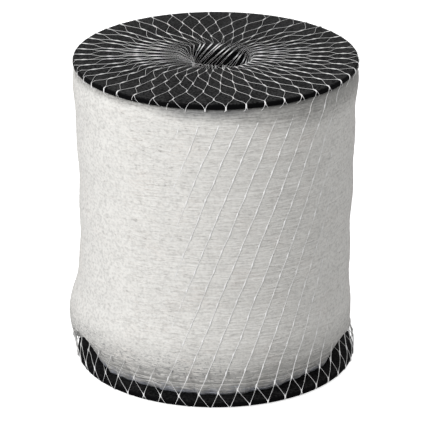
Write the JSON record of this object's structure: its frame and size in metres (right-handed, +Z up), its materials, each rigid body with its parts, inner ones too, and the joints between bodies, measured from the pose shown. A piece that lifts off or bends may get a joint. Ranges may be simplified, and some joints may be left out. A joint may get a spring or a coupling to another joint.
{
  "type": "roll of tubular netting on a flanged spool",
  "caption": "Upright roll of white tubular netting wound on a black flanged spool, with its outer length drawn over the roll as a mesh sleeve and tucked into the hub.",
  "frame": {"origin": "on the bore's axis, at the level of the surface that the roll stands on", "axes": "+Z up along the bore, -Y to the picture's viewer, +X to the viewer's right"},
  "size_m": [0.3101, 0.3063, 0.3402],
  "materials": {
    "spool_plastic": "fine moulded grain, slight sheen",
    "core_plastic": "plain moulded bore",
    "wound_netting": "white plastic netting, wound in many turns",
    "sleeve_netting": "white, slightly clear plastic strands, knotted in diamonds"
  },
  "bodies": {
    "root": {"top_flange": "spool_plastic", "bottom_flange": "spool_plastic", "spool_core": "core_plastic", "wound_netting": "wound_netting", "net_sleeve": "sleeve_netting"}
  },
  "joints": []
}
